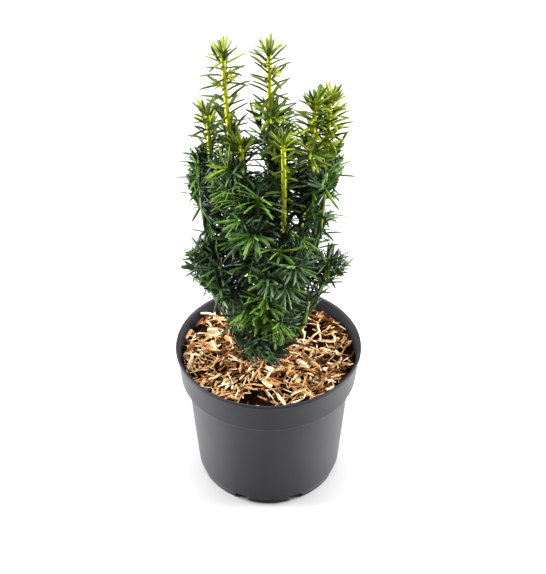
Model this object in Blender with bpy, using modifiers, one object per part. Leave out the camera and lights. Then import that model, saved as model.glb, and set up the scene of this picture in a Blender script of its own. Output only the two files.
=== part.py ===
"""A young upright yew in its round nursery pot, as separate closed solids.

The pot holds a plug of soil under a layer of shredded wood. A short trunk rises from the soil.
Boughs leave it low down and turn upright. Each ends where its own mass of needles starts. Lengths
are in metres and +Z is up. The origin is at the middle of the flat foot that the pot stands on.
"""

import math
import random
from collections import namedtuple

import bmesh
import bpy
from mathutils import Matrix, Vector, noise

MM = 0.001
GAP = 0.3 * MM  # between pieces that touch

# Pot, turned about the Z axis.
POT_HEIGHT = 142 * MM
RIM_RADIUS = 85 * MM
RIM_BEAD = 1.1 * MM  # how far the bead stands out of the collar
RIM_BEAD_HEIGHT = 3.2 * MM
COLLAR_HEIGHT = 33 * MM
COLLAR_FOOT_RADIUS = 81.4 * MM
BODY_TOP_RADIUS = 75.6 * MM
BODY_FOOT_RADIUS = 67.6 * MM
FOOT_RADIUS = 66.0 * MM
FOOT_HEIGHT = 5 * MM
FOOT_WIDTH = 6 * MM
FLOOR_HEIGHT = 4 * MM  # underside of the floor, between the feet
WALL = 1.6 * MM
POT_STEPS = 32
DRAIN_COUNT = 8
DRAIN_WIDTH = 13 * MM
DRAIN_HEIGHT = 15 * MM
DRAIN_DEPTH = 16 * MM

# What fills the pot.
SOIL_TOP = 122 * MM
MULCH_TOP = 131 * MM
MULCH_LUMP = 3.6 * MM
MULCH_LUMP_SIZE = 17 * MM
MULCH_SMALL_LUMP = 1.6 * MM
MULCH_SMALL_LUMP_SIZE = 7 * MM
MULCH_HOLE_RADIUS = 7.6 * MM
MULCH_RINGS = 7

# Trunk: from the soil to where the middle leader's needles start.
TRUNK_TOP = Vector((3, 8, 262)) * MM
TRUNK_RADIUS = 4.3 * MM
TRUNK_TOP_RADIUS = 2.0 * MM
FLARE = 2.6 * MM  # added at the soil
FLARE_HEIGHT = 9 * MM
TRUNK_POINTS = 12
TRUNK_SIDES = 10

# Boughs and the stems of the masses.
BOUGH_RADIUS = 2.3 * MM
STEM_RADIUS = 1.6 * MM  # where a bough ends and its mass starts
STEM_TIP_RADIUS = 0.9 * MM
TWIG_RADIUS = 1.0 * MM
TWIG_TIP_RADIUS = 0.7 * MM
BOUGH_SIDES = 6
SHOOT_POINTS = 40  # on the bent line, before it is spaced evenly
PATH_STEP = 3 * MM
BOUGH_RING_EVERY = 4  # steps

# Needles, broader than life and fewer, in whorls drawn out of the stem's faces.
NEEDLE_LENGTH = 26 * MM
NEEDLE_WIDTH = 5.6 * MM
NEEDLE_THICKNESS = 1.1 * MM
NEEDLE_WIDEST = 0.42  # share of the length from the root
WHORL_SPACING = 18.5 * MM
FIRST_WHORL = 4 * MM
FOOT_LEAN = math.radians(80)  # of a needle from its stem, low down
LEAN_CLOSING = math.radians(30)  # how much less it is near the tip
STEM_TIP_WHORLS = ((5 * MM, 44), (1.5 * MM, 24))  # distance from the tip, lean in degrees
TWIG_TIP_WHORLS = ((2 * MM, 38),)
STEM_TIP_NEEDLE = 15 * MM
TWIG_TIP_NEEDLE = 15 * MM
SHORTER_NEEDLES = (1.0, 0.75, 0.5)  # tried in turn where space is tight
TWIG_LENGTHS = (12 * MM, 24 * MM)
TWIG_LEANS = (32, 55)  # degrees from the stem
TWIG_TRIES = 16
TWIGS_FROM, TWIGS_TO = 0.12, 0.78  # the share of a stem that carries twigs
WHORL_TURN = math.radians(47.5)
STEM_SIDES = 4
TWIG_SIDES = 3
GOLDEN_ANGLE = math.radians(137.508)
CLEARANCE = 0.9 * MM  # between a needle or twig and what isn't its own mass
CLEAR_OF_MULCH = 138.5 * MM
CROWN_RADIUS = 77 * MM

# Each shoot leaves the trunk at the height foot, turns up at its elbow and ends at its tip.
# x, y and z are in millimetres; bough is the share of the shoot that is bare limb, and twigs is
# how many side twigs its mass carries.
Shoot = namedtuple("Shoot", "name foot elbow tip bough twigs")
SHOOTS = [
    Shoot("left_leader", 193, (-27, 1, 232), (-35, 0, 438), 0.20, 2),
    Shoot("left_short", 168, (-48, 15, 208), (-51, 14, 382), 0.24, 2),
    Shoot("left_high", 159, (-55, 1, 196), (-57, 2, 327), 0.28, 2),
    Shoot("left_low", 141, (-52, -10, 172), (-56, -10, 262), 0.34, 2),
    Shoot("inner_left", 181, (-20, -17, 236), (-21, -16, 366), 0.22, 2),
    Shoot("front_left", 148, (-34, -29, 184), (-40, -33, 256), 0.32, 2),
    Shoot("front_upper", 166, (-8, -33, 214), (-9, -35, 329), 0.26, 2),
    Shoot("front_bright", 141, (-5, -44, 172), (-2, -48, 236), 0.36, 1),
    Shoot("front_bottom", 133, (-6, -47, 150), (-8, -61, 202), 0.42, 1),
    Shoot("front_middle", 155, (13, -42, 198), (9, -46, 284), 0.30, 2),
    Shoot("front_leader", 178, (17, -29, 240), (12, -30, 374), 0.22, 2),
    Shoot("front_right_low", 139, (29, -35, 166), (34, -38, 222), 0.36, 1),
    Shoot("right_low", 142, (46, -9, 176), (51, -13, 250), 0.33, 1),
    Shoot("right_middle", 158, (44, -12, 206), (47, -15, 338), 0.28, 2),
    Shoot("right_leader", 188, (31, -5, 232), (38, -1, 396), 0.22, 2),
    Shoot("right_outer", 166, (47, 9, 208), (50, 9, 393), 0.24, 2),
    Shoot("back_right", 149, (36, 34, 184), (36, 37, 284), 0.32, 2),
    Shoot("back_middle", 156, (2, 42, 194), (3, 45, 300), 0.30, 2),
    Shoot("back_left", 147, (-34, 34, 184), (-32, 38, 284), 0.32, 2),
]
MIDDLE_LEADER = "middle_leader"
MIDDLE_LEADER_TIP = Vector((1, 10, 434)) * MM
MIDDLE_LEADER_TWIGS = 3

COLOURS = {
    "pot": ((0.105, 0.108, 0.118), 0.48),
    "soil": ((0.035, 0.020, 0.013), 0.95),
    "mulch": ((0.42, 0.25, 0.12), 0.85),
    "bark": ((0.20, 0.12, 0.06), 0.85),
    "needles": ((0.045, 0.115, 0.035), 0.50),
}


def clear_scene():
    for obj in list(bpy.data.objects):
        bpy.data.objects.remove(obj, do_unlink=True)


def new_collection(name):
    collection = bpy.data.collections.new(name)
    bpy.context.scene.collection.children.link(collection)
    return collection


def new_material(name):
    colour, roughness = COLOURS[name]
    material = bpy.data.materials.new(name)
    material.use_nodes = True
    shader = material.node_tree.nodes["Principled BSDF"]
    shader.inputs["Base Color"].default_value = (*colour, 1.0)
    shader.inputs["Roughness"].default_value = roughness
    shader.inputs["Metallic"].default_value = 0.0
    return material


def link(obj, collection, material=None):
    collection.objects.link(obj)
    if material is not None:
        obj.data.materials.clear()
        obj.data.materials.append(material)
    return obj


def mesh_of(obj, weld=True):
    """The object's evaluated mesh in world space, with its doubles merged unless weld is off."""
    bpy.context.view_layer.update()
    graph = bpy.context.evaluated_depsgraph_get()
    evaluated = obj.evaluated_get(graph)
    mesh = bpy.data.meshes.new_from_object(evaluated)
    mesh.transform(obj.matrix_world)
    if weld:
        shape = bmesh.new()
        shape.from_mesh(mesh)
        bmesh.ops.remove_doubles(shape, verts=shape.verts, dist=0.01 * MM)
        bmesh.ops.recalc_face_normals(shape, faces=shape.faces)
        shape.to_mesh(mesh)
        shape.free()
    return mesh


def apply_modifiers(obj, weld=True):
    """Replaces the object's mesh with its evaluated one and drops its modifiers."""
    mesh = mesh_of(obj, weld)
    obj.matrix_world = Matrix.Identity(4)
    obj.modifiers.clear()
    obj.data = mesh
    return obj


def drop_scraps(mesh):
    """Keeps only the largest connected piece of a mesh."""
    shape = bmesh.new()
    shape.from_mesh(mesh)
    left = set(shape.verts)
    pieces = []
    while left:
        reached = [left.pop()]
        for vertex in reached:
            for edge in vertex.link_edges:
                neighbour = edge.other_vert(vertex)
                if neighbour in left:
                    left.remove(neighbour)
                    reached.append(neighbour)
        pieces.append(reached)
    pieces.sort(key=len)
    scraps = [vertex for piece in pieces[:-1] for vertex in piece]
    bmesh.ops.delete(shape, geom=scraps, context="VERTS")
    shape.to_mesh(mesh)
    shape.free()


def turned(name, profile, steps, collection, material):
    """A solid of revolution from (radius, height) points that run down the outer side."""
    mesh = bpy.data.meshes.new(name)
    corners = [(r, 0, z) for r, z in profile]
    edges = [(i, i + 1) for i in range(len(corners) - 1)]
    if profile[0][0] > 0:
        edges.append((len(corners) - 1, 0))
    mesh.from_pydata(corners, edges, [])
    obj = link(bpy.data.objects.new(name, mesh), collection, material)
    screw = obj.modifiers.new("turn", "SCREW")
    screw.steps = steps
    screw.render_steps = steps
    screw.use_merge_vertices = True
    screw.merge_threshold = 0.01 * MM
    return obj


def collar_radius(height):
    """Outer radius of the collar's wall at a height."""
    share = (POT_HEIGHT - height) / COLLAR_HEIGHT
    return RIM_RADIUS - RIM_BEAD + (COLLAR_FOOT_RADIUS - RIM_RADIUS + RIM_BEAD) * share


def make_pot(collection, cutters, material):
    """Pot wall and floor in one turned profile, with drain slots cut through the lower corner."""
    collar_foot = POT_HEIGHT - COLLAR_HEIGHT
    bead = POT_HEIGHT - RIM_BEAD_HEIGHT
    outer = [
        (0, FLOOR_HEIGHT),
        (FOOT_RADIUS - FOOT_WIDTH, FLOOR_HEIGHT),
        (FOOT_RADIUS - FOOT_WIDTH + 1 * MM, 0),
        (FOOT_RADIUS - 0.8 * MM, 0),
        (FOOT_RADIUS, 0.8 * MM),
        (FOOT_RADIUS, FOOT_HEIGHT),
        (BODY_FOOT_RADIUS, FOOT_HEIGHT + 1.5 * MM),
        (BODY_TOP_RADIUS, collar_foot - 1.2 * MM),
        (COLLAR_FOOT_RADIUS - 1 * MM, collar_foot),
        (COLLAR_FOOT_RADIUS, collar_foot + 1 * MM),
        (collar_radius(bead), bead - 0.8 * MM),
        (RIM_RADIUS, bead),
        (RIM_RADIUS, POT_HEIGHT - 0.7 * MM),
        (RIM_RADIUS - 0.7 * MM, POT_HEIGHT),
    ]
    inner = [
        (RIM_RADIUS - RIM_BEAD - WALL + 0.4 * MM, POT_HEIGHT),
        (RIM_RADIUS - RIM_BEAD - WALL, POT_HEIGHT - 0.6 * MM),
        (COLLAR_FOOT_RADIUS - WALL, collar_foot + 1.4 * MM),
        (BODY_TOP_RADIUS - WALL, collar_foot + 0.4 * MM),
        (BODY_FOOT_RADIUS - WALL, FLOOR_HEIGHT + WALL + 1 * MM),
        (BODY_FOOT_RADIUS - WALL - 1 * MM, FLOOR_HEIGHT + WALL),
        (0, FLOOR_HEIGHT + WALL),
    ]
    pot = turned("pot", list(reversed(outer + inner)), POT_STEPS, collection, material)
    apply_modifiers(pot)
    for i in range(DRAIN_COUNT):
        cut_drain(pot, cutters, math.tau * (i + 0.5) / DRAIN_COUNT)
    return apply_modifiers(pot)


def cut_drain(pot, cutters, angle):
    """A slot through the pot's lower corner, where water leaves."""
    shape = bmesh.new()
    bmesh.ops.create_cube(shape, size=1)
    mesh = bpy.data.meshes.new("drain_cutter")
    size = (DRAIN_DEPTH, DRAIN_WIDTH, DRAIN_HEIGHT)
    place = Matrix.Rotation(angle, 4, "Z") @ Matrix.Translation((FOOT_RADIUS, 0, 0))
    shape.transform(place @ Matrix.Diagonal((*size, 1)))
    shape.to_mesh(mesh)
    shape.free()
    cutter = link(bpy.data.objects.new("drain_cutter", mesh), cutters)
    cut(pot, cutter, "drain")


def cut(obj, cutter, name):
    cutter.hide_render = True
    cutter.display_type = "WIRE"
    modifier = obj.modifiers.new(name, "BOOLEAN")
    modifier.operation = "DIFFERENCE"
    modifier.solver = "EXACT"
    modifier.object = cutter


def make_soil(collection, material):
    """The plug that fills the pot, up to the shredded wood."""
    collar_foot = POT_HEIGHT - COLLAR_HEIGHT
    floor = FLOOR_HEIGHT + WALL + GAP
    inset = WALL + 1.5 * GAP
    profile = [
        (0, SOIL_TOP),
        (collar_radius(SOIL_TOP) - inset, SOIL_TOP),
        (COLLAR_FOOT_RADIUS - inset, collar_foot + 1.4 * MM + 2 * GAP),
        (BODY_TOP_RADIUS - inset, collar_foot + 0.4 * MM + 2 * GAP),
        (BODY_FOOT_RADIUS - inset, floor + 1 * MM),
        (BODY_FOOT_RADIUS - inset - 1 * MM, floor),
        (0, floor),
    ]
    return apply_modifiers(turned("soil", profile, POT_STEPS, collection, material))


def mulch_height(x, y):
    """Height of the heaped wood at a place in the pot."""
    lumps = noise.noise(Vector((x, y, 0)) / MULCH_LUMP_SIZE)
    small = noise.noise(Vector((x, y, 1)) / MULCH_SMALL_LUMP_SIZE)
    return MULCH_TOP + MULCH_LUMP * lumps + MULCH_SMALL_LUMP * small


def make_mulch(collection, material):
    """A ring of shredded wood round the trunk, with a heaped top."""
    outer = collar_radius(SOIL_TOP) - WALL - 2 * GAP
    span = outer - MULCH_HOLE_RADIUS
    top = [
        (MULCH_HOLE_RADIUS + span * i / (MULCH_RINGS - 1), MULCH_TOP)
        for i in range(MULCH_RINGS)
    ]
    floor = SOIL_TOP + GAP
    profile = top + [(outer, floor), (MULCH_HOLE_RADIUS, floor)]
    mulch = turned("wood_mulch", profile, POT_STEPS, collection, material)
    apply_modifiers(mulch)
    for vertex in mulch.data.vertices:
        if vertex.co.z > MULCH_TOP - 1 * MM:
            vertex.co.z = mulch_height(vertex.co.x, vertex.co.y)
    return mulch


def bezier(start, elbow, end, share):
    return (
        start * (1 - share) ** 2 + elbow * 2 * share * (1 - share) + end * share**2
    )


def evenly(points, step):
    """The same line with points a step apart, ends included."""
    lengths = [0.0]
    for a, b in zip(points, points[1:]):
        lengths.append(lengths[-1] + (b - a).length)
    count = max(2, round(lengths[-1] / step) + 1)
    result = []
    k = 0
    for i in range(count):
        target = lengths[-1] * i / (count - 1)
        while k < len(points) - 2 and lengths[k + 1] < target:
            k += 1
        share = (target - lengths[k]) / (lengths[k + 1] - lengths[k])
        result.append(points[k].lerp(points[k + 1], min(1.0, share)))
    return result


def trunk_line():
    """The trunk's middle line, upright at the soil and leaning further with height."""
    base = Vector((0, 0, SOIL_TOP + GAP))
    bow = Vector((0, 0, base.lerp(TRUNK_TOP, 0.5).z))
    return [
        bezier(base, bow, TRUNK_TOP, i / (TRUNK_POINTS - 1)) for i in range(TRUNK_POINTS)
    ]


def trunk_radius(height):
    base = SOIL_TOP + GAP
    share = (height - base) / (TRUNK_TOP.z - base)
    taper = TRUNK_RADIUS + (TRUNK_TOP_RADIUS - TRUNK_RADIUS) * share
    return taper + FLARE * math.exp(-(height - base) / FLARE_HEIGHT)


def at_height(line, height):
    for a, b in zip(line, line[1:]):
        if b.z >= height:
            return a.lerp(b, (height - a.z) / (b.z - a.z))
    return line[-1].copy()


def shoot_line(shoot, trunk):
    """The whole shoot, from the trunk's middle line to its tip."""
    foot = at_height(trunk, shoot.foot * MM)
    elbow, tip = Vector(shoot.elbow) * MM, Vector(shoot.tip) * MM
    bent = [bezier(foot, elbow, tip, i / SHOOT_POINTS) for i in range(SHOOT_POINTS + 1)]
    return evenly(bent, PATH_STEP)


def limb(name, line, radii, sides, collection, material=None):
    """A tapering round limb along a line, as a closed mesh with flat ends."""
    curve = bpy.data.curves.new(name, "CURVE")
    curve.dimensions = "3D"
    curve.twist_mode = "MINIMUM"
    curve.use_fill_caps = True
    curve.bevel_depth = 1 * MM
    curve.bevel_resolution = max(0, sides // 2 - 2)
    spline = curve.splines.new("POLY")
    spline.points.add(len(line) - 1)
    for point, co, radius in zip(spline.points, line, radii):
        point.co = (*co, 1)
        point.radius = radius / (1 * MM)
    drawn = link(bpy.data.objects.new(name, curve), collection)
    mesh = mesh_of(drawn)
    bpy.data.objects.remove(drawn)
    bpy.data.curves.remove(curve)
    mesh.name = name
    made = link(bpy.data.objects.new(name, mesh), collection, material)
    mesh.shade_smooth()
    mesh.set_sharp_from_angle(angle=math.radians(50))
    return made


def taper(count, start, end):
    return [start + (end - start) * i / (count - 1) for i in range(count)]


def sparse(line, every):
    """Every nth point of a line, ends included."""
    return line[:-1:every] + [line[-1]]


class Space:
    """Keeps a mass to its own part of the crown, off the limbs, the wood and the pot's rim."""

    def __init__(self, name, stems, limbs):
        self.own = stems[name]
        self.others = [p for other, line in stems.items() if other != name for p in line]
        self.limbs = limbs

    def holds(self, point, half):
        """Whether a ball of this half width at the point keeps to the space."""
        if point.z < CLEAR_OF_MULCH or point.xy.length > CROWN_RADIUS:
            return False
        own = min((point - p).length for p in self.own)
        other = min((point - p).length for p in self.others)
        if other - own < 2 * (half + CLEARANCE):
            return False
        return all((point - p).length > r + half + CLEARANCE for p, r in self.limbs)

    def holds_line(self, start, end, widest):
        """The same for a blade that is widest at NEEDLE_WIDEST and pointed at both ends."""
        for share in (0.25, NEEDLE_WIDEST, 0.7, 1.0):
            rest = min(share / NEEDLE_WIDEST, (1 - share) / (1 - NEEDLE_WIDEST))
            if not self.holds(start.lerp(end, share), 0.5 * widest * rest):
                return False
        return True


def across(direction, angle):
    """A unit vector square to direction, turned round it by angle."""
    side = direction.cross(Vector((0, 1, 0.01))).normalized()
    return (side * math.cos(angle) + direction.cross(side) * math.sin(angle)).normalized()


def needle_lean(share):
    """How far a needle leans from its stem: nearly square low down, closing towards the tip."""
    return FOOT_LEAN - LEAN_CLOSING * share**1.5


def corners(centre, direction, side, radius, count):
    """The corners of a polygon with that many sides, square to direction."""
    up = direction.cross(side)
    angles = [math.tau * i / count for i in range(count)]
    return [centre + (side * math.cos(a) + up * math.sin(a)) * radius for a in angles]


def extruded(shape, face, places):
    """Extrudes a face, puts its corners at the places and returns it with the sides made."""
    made = bmesh.ops.extrude_discrete_faces(shape, faces=[face])["faces"][0]
    for vertex, place in zip(made.verts, places):
        vertex.co = place
    sides = [f for edge in made.edges for f in edge.link_faces if f is not made]
    return made, sides


def draw_needle(shape, face, out, up, length):
    """Draws a face out to a flat blade that widens and then comes to a point."""
    root = face.calc_center_median()
    side = up.cross(out).normalized()
    flat = out.cross(side)
    middle = root + out * (NEEDLE_WIDEST * length)
    places = []
    for vertex in face.verts:
        across_blade = math.copysign(0.5 * NEEDLE_WIDTH, (vertex.co - root).dot(side))
        through_blade = math.copysign(0.5 * NEEDLE_THICKNESS, (vertex.co - root).dot(flat))
        places.append(middle + side * across_blade + flat * through_blade)
    blade = extruded(shape, face, places)[0]
    point = bmesh.ops.poke(shape, faces=[blade])["verts"][0]
    point.co = root + out * length


def stem_places(line, tip_whorls):
    """Distances along a stem of its whorls, and how far the needles of each lean."""
    total = sum((b - a).length for a, b in zip(line, line[1:]))
    last = total - tip_whorls[0][0]
    count = max(1, round((last - FIRST_WHORL) / WHORL_SPACING))
    regular = [FIRST_WHORL + (last - FIRST_WHORL) * i / count for i in range(count)]
    whorls = [(at, needle_lean(at / total)) for at in regular]
    whorls += [(total - back, math.radians(lean)) for back, lean in tip_whorls]
    return total, whorls


def along(line, distance):
    """The point of a line at a distance from its start, and the line's direction there."""
    for a, b in zip(line, line[1:]):
        step = (b - a).length
        if distance <= step or b is line[-1]:
            return a + (b - a) * (distance / step), (b - a).normalized()
        distance -= step


def leafy_stem(name, line, radii, count, turn, space, collection):
    """A stem with that many sides, its whorls of needles and one needle on its end."""
    is_stem = count == STEM_SIDES
    tip_needle = STEM_TIP_NEEDLE if is_stem else TWIG_TIP_NEEDLE
    total, whorls = stem_places(line, STEM_TIP_WHORLS if is_stem else TWIG_TIP_WHORLS)
    shape = bmesh.new()
    bmesh.ops.create_circle(shape, cap_ends=True, segments=count, radius=1)
    end = shape.faces[:][0]
    side = across(line[1] - line[0], turn)
    rings = [(0.0, None)]
    for at, lean in whorls:
        rings.append((at - 0.5 * NEEDLE_THICKNESS, None))
        rings.append((at + 0.5 * NEEDLE_THICKNESS, lean))
    rings.append((total, None))
    bands = []
    for i, (at, lean) in enumerate(rings):
        centre, direction = along(line, at)
        radius = radii[0] + (radii[1] - radii[0]) * at / total
        if lean is None and 0 < i < len(rings) - 1:
            side = Matrix.Rotation(WHORL_TURN, 3, direction) @ side
        side = (side - direction * side.dot(direction)).normalized()
        places = corners(centre, direction, side, radius, count)
        if i == 0:
            for vertex, place in zip(end.verts, places):
                vertex.co = place
            continue
        end, made = extruded(shape, end, places)
        if lean is not None:
            bands += [(face, centre, direction, lean, at / total) for face in made]
    for face, centre, direction, lean, share in bands:
        out_of_stem = face.calc_center_median() - centre
        radial = (out_of_stem - direction * out_of_stem.dot(direction)).normalized()
        out = direction * math.cos(lean) + radial * math.sin(lean)
        longest = NEEDLE_LENGTH + (tip_needle - NEEDLE_LENGTH) * share**2
        for shorter in SHORTER_NEEDLES:
            reach = longest * shorter
            if space.holds_line(centre, centre + out * reach, NEEDLE_WIDTH):
                draw_needle(shape, face, out, direction, reach)
                break
    draw_needle(shape, end, direction, across(direction, turn), tip_needle)
    open_foot = [edge for edge in shape.edges if edge.is_boundary]
    bmesh.ops.holes_fill(shape, edges=open_foot, sides=count)
    bmesh.ops.recalc_face_normals(shape, faces=shape.faces)
    mesh = bpy.data.meshes.new(name)
    shape.to_mesh(mesh)
    shape.free()
    return link(bpy.data.objects.new(name, mesh), collection)


def make_mass(name, line, twigs, space, collection, material):
    """One mass: a stem with its side twigs, all in needle, fused into one solid."""
    draws = random.Random(name)
    turn = draws.uniform(0, math.tau)
    radii = (STEM_RADIUS, STEM_TIP_RADIUS)
    mass = leafy_stem("foliage_" + name, line, radii, STEM_SIDES, turn, space, collection)
    parts = bpy.data.collections.new("twigs_of_" + name)
    bpy.context.scene.collection.children.link(parts)
    for i in range(twigs):
        place = (i + draws.uniform(0.2, 0.8)) / twigs
        share = TWIGS_FROM + (TWIGS_TO - TWIGS_FROM) * place
        k = round(share * (len(line) - 1))
        direction = (line[k + 1] - line[k - 1]).normalized()
        tip = free_tip(line[k], direction, turn + i * GOLDEN_ANGLE, space, draws)
        if tip is not None:
            twig = [line[k], line[k].lerp(tip, 0.5), tip]
            radii = (TWIG_RADIUS, TWIG_TIP_RADIUS)
            leafy_stem("twig", twig, radii, TWIG_SIDES, turn, space, parts)
    if parts.objects:
        join = mass.modifiers.new("fuse", "BOOLEAN")
        join.operation = "UNION"
        join.solver = "MANIFOLD"
        join.operand_type = "COLLECTION"
        join.collection = parts
    apply_modifiers(mass, weld=False)
    drop_scraps(mass.data)
    for part in list(parts.objects):
        bpy.data.objects.remove(part, do_unlink=True)
    bpy.data.collections.remove(parts)
    mass.data.materials.clear()
    mass.data.materials.append(material)
    return mass


def free_tip(root, direction, turn, space, draws):
    """Where a side twig from this root can end with its last needle in the mass's space."""
    best = None
    for i in range(TWIG_TRIES):
        lean = math.radians(draws.uniform(*TWIG_LEANS))
        outward = across(direction, turn + i * GOLDEN_ANGLE)
        out = direction * math.cos(lean) + outward * math.sin(lean)
        length = draws.uniform(*TWIG_LENGTHS)
        tip = root + out * length
        if best is not None and length <= (best - root).length:
            continue
        clear = space.holds_line(root, tip, 2 * TWIG_RADIUS)
        if clear and space.holds_line(tip, tip + out * TWIG_TIP_NEEDLE, NEEDLE_WIDTH):
            best = tip
    return best


def make_tree(collection, cutters, bark, green):
    """Trunk, boughs and masses of needles."""
    trunk = trunk_line()
    radii = [trunk_radius(p.z) for p in trunk]
    limb("trunk", trunk, radii, TRUNK_SIDES, collection, bark)
    clear = [r + GAP for r in radii]
    cutter = limb("trunk_cutter", trunk, clear, TRUNK_SIDES, cutters)
    stems = {}
    fine_trunk = evenly(trunk, PATH_STEP)
    limbs = [(p, trunk_radius(p.z)) for p in fine_trunk]
    boughs = {}
    for shoot in SHOOTS:
        line = shoot_line(shoot, trunk)
        end = round(shoot.bough * (len(line) - 1))
        boughs[shoot.name] = line[: end + 1]
        step = (line[end + 1] - line[end]).normalized()
        stems[shoot.name] = [line[end] + step * GAP] + line[end + 1 :]
        limbs += [(p, BOUGH_RADIUS) for p in boughs[shoot.name]]
    rise = (trunk[-1] - trunk[-2]).normalized()
    stems[MIDDLE_LEADER] = evenly([TRUNK_TOP + rise * GAP, MIDDLE_LEADER_TIP], PATH_STEP)
    for name, line in boughs.items():
        coarse = sparse(line, BOUGH_RING_EVERY)
        radii = taper(len(coarse), BOUGH_RADIUS, STEM_RADIUS)
        bough = limb("bough_" + name, coarse, radii, BOUGH_SIDES, collection, bark)
        cut(bough, cutter, "off_the_trunk")
        apply_modifiers(bough)
    twigs = {shoot.name: shoot.twigs for shoot in SHOOTS}
    twigs[MIDDLE_LEADER] = MIDDLE_LEADER_TWIGS
    for name, line in stems.items():
        make_mass(name, line, twigs[name], Space(name, stems, limbs), collection, green)


def main():
    clear_scene()
    plant = new_collection("yew_in_pot")
    cutters = new_collection("cutters")
    make_pot(plant, cutters, new_material("pot"))
    make_soil(plant, new_material("soil"))
    make_mulch(plant, new_material("mulch"))
    make_tree(plant, cutters, new_material("bark"), new_material("needles"))


main()
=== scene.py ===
# %% [markdown]
# # A young yew in its nursery pot
#
# The real plant is a small upright evergreen, sold in a round plastic pot. A short trunk stands in
# dark soil under shredded wood. Slim boughs leave it low down and rise side by side, and every
# shoot is wrapped in flat narrow needles. The tallest shoots end in this year's growth, whose
# stems are still yellow-green.
#
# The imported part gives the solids: pot, soil, wood, trunk, boughs and one mass of broad needles
# for each shoot. This lesson keeps their places and sizes and makes each thing as it looks. All
# sizes are in metres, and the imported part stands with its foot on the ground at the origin.

import math
import random
from collections import namedtuple

import bpy
import numpy as np
from mathutils import Matrix, Vector, noise


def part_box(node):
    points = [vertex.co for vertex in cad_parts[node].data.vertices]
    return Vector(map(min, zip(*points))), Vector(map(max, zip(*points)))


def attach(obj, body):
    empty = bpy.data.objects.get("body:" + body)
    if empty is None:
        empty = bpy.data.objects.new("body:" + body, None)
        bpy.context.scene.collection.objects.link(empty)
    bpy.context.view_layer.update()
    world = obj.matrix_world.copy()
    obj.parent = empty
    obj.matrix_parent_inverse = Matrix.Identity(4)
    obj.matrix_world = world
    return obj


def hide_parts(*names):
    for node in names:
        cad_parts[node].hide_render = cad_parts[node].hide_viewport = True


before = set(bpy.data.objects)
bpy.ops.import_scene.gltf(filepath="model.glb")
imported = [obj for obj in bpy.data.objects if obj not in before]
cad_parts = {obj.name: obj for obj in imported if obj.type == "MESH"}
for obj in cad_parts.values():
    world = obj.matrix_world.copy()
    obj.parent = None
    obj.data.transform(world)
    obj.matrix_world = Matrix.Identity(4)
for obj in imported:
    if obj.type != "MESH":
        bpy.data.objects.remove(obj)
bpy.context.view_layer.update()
MM = 0.001

# %% [markdown]
# ## Working by hand in edit mode
#
# Blender's operators act on whatever is selected, and the imported nodes come in selected. So each
# step first clears the selection. A finished piece keeps its place in its mesh, with its object
# at the origin. It gets its name and materials and hangs on the root, and the imported nodes it
# stands for are hidden.

# %% Helpers for selecting and for finishing a piece
def deselect_all():
    if bpy.context.object and bpy.context.object.mode != "OBJECT":
        bpy.ops.object.mode_set(mode="OBJECT")
    bpy.ops.object.select_all(action="DESELECT")


def only(obj):
    """Makes one object the selected and the active one."""
    deselect_all()
    obj.select_set(True)
    bpy.context.view_layer.objects.active = obj


def add_object(name, data):
    """A new object with this data, linked into the scene."""
    obj = bpy.data.objects.new(name, data)
    bpy.context.scene.collection.objects.link(obj)
    return obj


def leave_edit_mode():
    """Turns every face of the edited mesh outwards, then leaves edit mode."""
    bpy.ops.mesh.select_all(action="SELECT")
    bpy.ops.mesh.normals_make_consistent(inside=False)
    bpy.ops.object.mode_set(mode="OBJECT")


def apply_all_modifiers(obj):
    only(obj)
    for modifier in list(obj.modifiers):
        bpy.ops.object.modifier_apply(modifier=modifier.name)


def finish_piece(obj, name, materials, nodes):
    """Names a piece, gives it its materials and ties it to the frame."""
    only(obj)
    bpy.ops.object.transform_apply(location=True, rotation=True, scale=True)
    obj.name = name
    obj.data.name = name
    obj.data.materials.clear()
    for material in materials:
        obj.data.materials.append(material)
    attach(obj, "root")
    if nodes:
        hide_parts(*nodes)
    triangles = sum(len(face.vertices) - 2 for face in obj.data.polygons)
    print(f"{name}: {triangles} triangles")


# %% [markdown]
# ## Camera, floor and light
#
# The photograph looks down on the pot at about 38 degrees with a long lens. The place and the
# lens were found by fitting the pot's rim, shoulder and foot to their ellipses. The floor is a
# plain pale disc that the lights turn white. Two tall soft lights stand on either side, a little
# further back than the plant, so that the pot is bright at its flanks and dark in front, and a
# third hangs above.

# %% Camera
CAMERA_PLACE = Vector((0.0041, -0.9013, 0.9208))
CAMERA_TILT = math.radians(51.66)
CAMERA_LENS = 81.41

camera_data = bpy.data.cameras.new("photo_camera")
camera_data.sensor_width = 36
camera_data.lens = CAMERA_LENS
camera = add_object("photo_camera", camera_data)
camera.location = CAMERA_PLACE
camera.rotation_euler = (CAMERA_TILT, 0, 0)
bpy.context.scene.camera = camera
print("camera looks down by", round(90 - math.degrees(CAMERA_TILT), 1), "degrees")

# %% Floor
FLOOR_RADIUS = 1.25
FLOOR_SIDES = 96
FLOOR_CLEAR = 0.2 * MM
FLOOR_COLOUR = (0.5, 0.5, 0.5, 1)
FLOOR_ROUGHNESS = 0.9

deselect_all()
bpy.ops.mesh.primitive_circle_add(
    vertices=FLOOR_SIDES, radius=FLOOR_RADIUS, fill_type="NGON", location=(0, 0, -FLOOR_CLEAR)
)
floor = bpy.context.object
floor.name = "studio_floor"
floor_paint = bpy.data.materials.new("pale_floor")
floor_paint.use_nodes = True
floor_shader = floor_paint.node_tree.nodes["Principled BSDF"]
floor_shader.inputs["Base Color"].default_value = FLOOR_COLOUR
floor_shader.inputs["Roughness"].default_value = FLOOR_ROUGHNESS
floor.data.materials.append(floor_paint)
print("floor:", FLOOR_RADIUS * 2, "m wide")

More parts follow.
